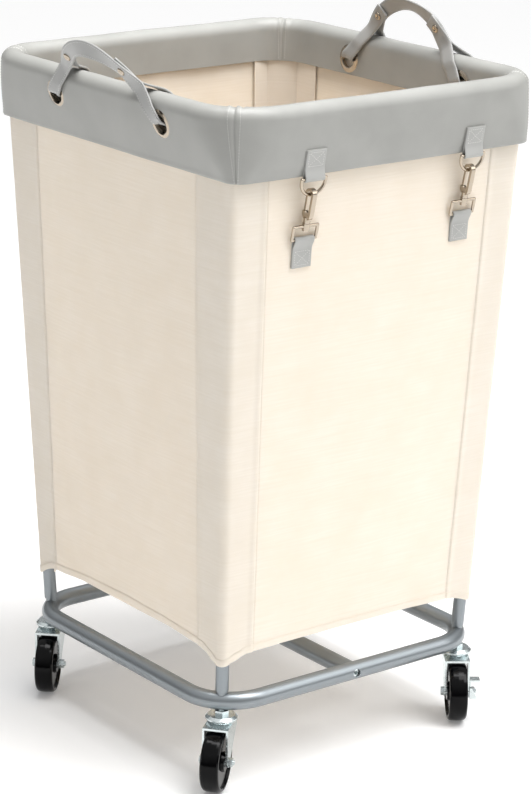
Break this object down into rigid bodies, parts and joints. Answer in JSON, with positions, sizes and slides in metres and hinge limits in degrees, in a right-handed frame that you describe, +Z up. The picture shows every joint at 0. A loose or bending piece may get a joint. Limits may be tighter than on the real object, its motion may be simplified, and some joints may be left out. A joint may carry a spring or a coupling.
{
  "type": "laundry sorter",
  "caption": "Tapered canvas laundry bag with a leather-look cuff, hung on leaning posts over a square tube base with swivel casters, two strap handles and snap closures.",
  "frame": {"origin": "on the floor under the middle of the whole object's box, 22 mm to the left of the base's middle because the left handle leans out", "axes": "+Z up, -Y towards the front with the snap closures, +X to the right"},
  "size_m": [0.5234, 0.515, 0.9014],
  "materials": {
    "frame_coating": "silver-grey powder coat",
    "zinc": "bright zinc plate",
    "nickel": "polished nickel plate",
    "wheel_plastic": "glossy black solid plastic",
    "canvas": "natural cotton canvas",
    "grey_leatherette": "grey grained leatherette"
  },
  "bodies": {
    "frame": {"base_ring_left": "frame_coating", "base_ring_right": "frame_coating", "cross_bar": "frame_coating", "tube_plugs": "zinc", "cross_bar_screws": "zinc", "post_front_left": "frame_coating", "post_front_right": "frame_coating", "post_back_left": "frame_coating", "post_back_right": "frame_coating", "top_ring_left": "frame_coating", "top_ring_right": "frame_coating", "stem_front_left": "zinc", "stem_front_right": "zinc", "stem_back_left": "zinc", "stem_back_right": "zinc", "stem_nuts": "zinc", "bag_front": "canvas", "bag_back": "canvas", "bag_left": "canvas", "bag_right": "canvas", "bag_floor": "canvas", "sleeve_front_left": "canvas", "sleeve_front_right": "canvas", "sleeve_back_left": "canvas", "sleeve_back_right": "canvas", "cuff_front": "grey_leatherette", "cuff_back": "grey_leatherette", "cuff_left": "grey_leatherette", "cuff_right": "grey_leatherette", "eyelets": "nickel", "handle_loops": "grey_leatherette", "cuff_tabs": "grey_leatherette", "bag_tabs": "grey_leatherette"},
    "caster_front_left": {"fork_front_left": "zinc", "axle_front_left": "zinc"},
    "wheel_front_left": {"wheel_front_left": "wheel_plastic"},
    "caster_front_right": {"fork_front_right": "zinc", "axle_front_right": "zinc"},
    "wheel_front_right": {"wheel_front_right": "wheel_plastic"},
    "brake_front_right": {"brake_front_right": "zinc"},
    "caster_back_left": {"fork_back_left": "zinc", "axle_back_left": "zinc"},
    "wheel_back_left": {"wheel_back_left": "wheel_plastic"},
    "caster_back_right": {"fork_back_right": "zinc", "axle_back_right": "zinc"},
    "wheel_back_right": {"wheel_back_right": "wheel_plastic"},
    "brake_back_right": {"brake_back_right": "zinc"},
    "handle_left": {"handle_left": "grey_leatherette", "handle_left_rivets": "nickel"},
    "handle_right": {"handle_right": "grey_leatherette", "handle_right_rivets": "nickel"},
    "d_ring_left": {"d_ring_left": "nickel"},
    "loop_base_left": {"loop_base_left": "nickel"},
    "snap_hook_left": {"snap_hook_left": "nickel"},
    "snap_gate_left": {"snap_gate_left": "nickel"},
    "d_ring_right": {"d_ring_right": "nickel"},
    "loop_base_right": {"loop_base_right": "nickel"},
    "snap_hook_right": {"snap_hook_right": "nickel"},
    "snap_gate_right": {"snap_gate_right": "nickel"}
  },
  "joints": [
    {"name": "swivel_front_left", "type": "hinge", "parent": "frame", "child": "caster_front_left", "pos_m": [-0.16243, -0.18443, 0.084], "axis": [0, 0, 1], "continuous": true},
    {"name": "spin_front_left", "type": "hinge", "parent": "caster_front_left", "child": "wheel_front_left", "pos_m": [-0.18108, -0.19953, 0.0375], "axis": [0.6293, -0.7771, 0], "continuous": true},
    {"name": "swivel_front_right", "type": "hinge", "parent": "frame", "child": "caster_front_right", "pos_m": [0.20643, -0.18443, 0.084], "axis": [0, 0, 1], "continuous": true},
    {"name": "spin_front_right", "type": "hinge", "parent": "caster_front_right", "child": "wheel_front_right", "pos_m": [0.19266, -0.20409, 0.0375], "axis": [0.8192, -0.5736, 0], "continuous": true},
    {"name": "press_brake_front_right", "type": "hinge", "parent": "caster_front_right", "child": "brake_front_right", "pos_m": [0.19266, -0.20409, 0.0375], "axis": [0.8192, -0.5736, 0], "range_deg": [0, 18]},
    {"name": "swivel_back_left", "type": "hinge", "parent": "frame", "child": "caster_back_left", "pos_m": [-0.16243, 0.18443, 0.084], "axis": [0, 0, 1], "continuous": true},
    {"name": "spin_back_left", "type": "hinge", "parent": "caster_back_left", "child": "wheel_back_left", "pos_m": [-0.1791, 0.16716, 0.0375], "axis": [0.7193, -0.6947, 0], "continuous": true},
    {"name": "swivel_back_right", "type": "hinge", "parent": "frame", "child": "caster_back_right", "pos_m": [0.20643, 0.18443, 0.084], "axis": [0, 0, 1], "continuous": true},
    {"name": "spin_back_right", "type": "hinge", "parent": "caster_back_right", "child": "wheel_back_right", "pos_m": [0.191, 0.16604, 0.0375], "axis": [0.766, -0.6428, 0], "continuous": true},
    {"name": "press_brake_back_right", "type": "hinge", "parent": "caster_back_right", "child": "brake_back_right", "pos_m": [0.191, 0.16604, 0.0375], "axis": [0.766, -0.6428, 0], "range_deg": [0, 18]},
    {"name": "fold_handle_left", "type": "hinge", "parent": "frame", "child": "handle_left", "pos_m": [-0.22063, -0.015, 0.83827], "axis": [0, -1, 0], "range_deg": [-120, 70]},
    {"name": "fold_handle_right", "type": "hinge", "parent": "frame", "child": "handle_right", "pos_m": [0.24025, -0.015, 0.84323], "axis": [0, 1, 0], "range_deg": [-75, 110]},
    {"name": "swing_d_ring_left", "type": "hinge", "parent": "frame", "child": "d_ring_left", "pos_m": [-0.092, -0.2486, 0.742], "axis": [-1, 0, 0], "range_deg": [0, 16]},
    {"name": "swing_loop_base_left", "type": "hinge", "parent": "frame", "child": "loop_base_left", "pos_m": [-0.092, -0.23214, 0.669], "axis": [1, 0, 0], "range_deg": [0, 6.4]},
    {"name": "turn_snap_hook_left", "type": "hinge", "parent": "loop_base_left", "child": "snap_hook_left", "pos_m": [-0.092, -0.23566, 0.68461], "axis": [0, -0.2199, 0.9755], "range_deg": [-15, 15]},
    {"name": "open_snap_gate_left", "type": "hinge", "parent": "snap_hook_left", "child": "snap_gate_left", "pos_m": [-0.092, -0.23373, 0.69991], "axis": [1, 0, 0], "range_deg": [0, 18], "stiffness_Nm_per_rad": 0.01, "springref_deg": -20.05},
    {"name": "swing_d_ring_right", "type": "hinge", "parent": "frame", "child": "d_ring_right", "pos_m": [0.144, -0.2486, 0.742], "axis": [-1, 0, 0], "range_deg": [0, 16]},
    {"name": "swing_loop_base_right", "type": "hinge", "parent": "frame", "child": "loop_base_right", "pos_m": [0.144, -0.23214, 0.669], "axis": [1, 0, 0], "range_deg": [0, 6.4]},
    {"name": "turn_snap_hook_right", "type": "hinge", "parent": "loop_base_right", "child": "snap_hook_right", "pos_m": [0.144, -0.23566, 0.68461], "axis": [0, -0.2199, 0.9755], "range_deg": [-15, 15]},
    {"name": "open_snap_gate_right", "type": "hinge", "parent": "snap_hook_right", "child": "snap_gate_right", "pos_m": [0.144, -0.23373, 0.69991], "axis": [1, 0, 0], "range_deg": [0, 18], "stiffness_Nm_per_rad": 0.01, "springref_deg": -20.05}
  ],
  "couplings": [
    {"joint": "swing_loop_base_left", "follows": "swing_d_ring_left", "ratio": 0.3647},
    {"joint": "swing_loop_base_right", "follows": "swing_d_ring_right", "ratio": 0.3647}
  ]
}
